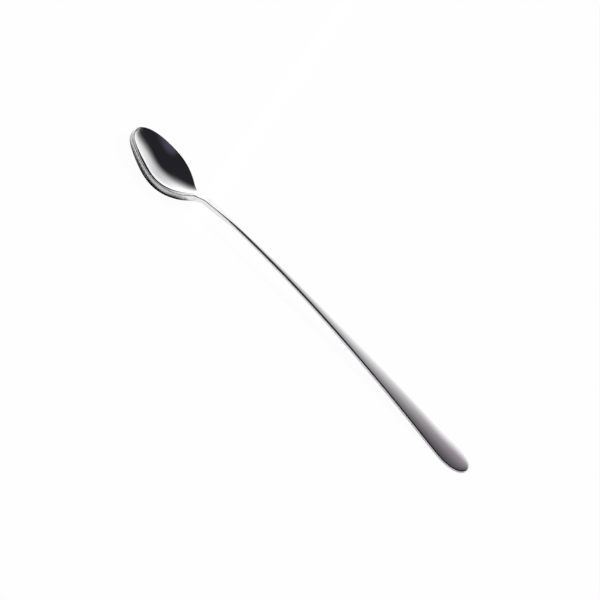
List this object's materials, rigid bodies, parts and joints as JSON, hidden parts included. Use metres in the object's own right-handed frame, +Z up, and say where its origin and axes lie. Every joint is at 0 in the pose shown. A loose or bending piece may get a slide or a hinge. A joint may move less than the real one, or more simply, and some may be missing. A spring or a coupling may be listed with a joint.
{
  "type": "iced tea spoon",
  "caption": "Long-handled iced tea spoon of polished steel: small deep oval bowl, raised neck, thin arched stem widening to a rounded grip.",
  "frame": {"origin": "on the table, under the middle of the spoon's length and width, with the spoon lying on its bowl and on its grip", "axes": "+X from the bowl towards the end of the handle, +Y across the spoon, +Z up"},
  "size_m": [0.21, 0.0248, 0.0118],
  "materials": {
    "polished_steel": "mirror polished stainless steel"
  },
  "bodies": {
    "root": {"bowl": "polished_steel", "handle": "polished_steel"}
  },
  "joints": []
}
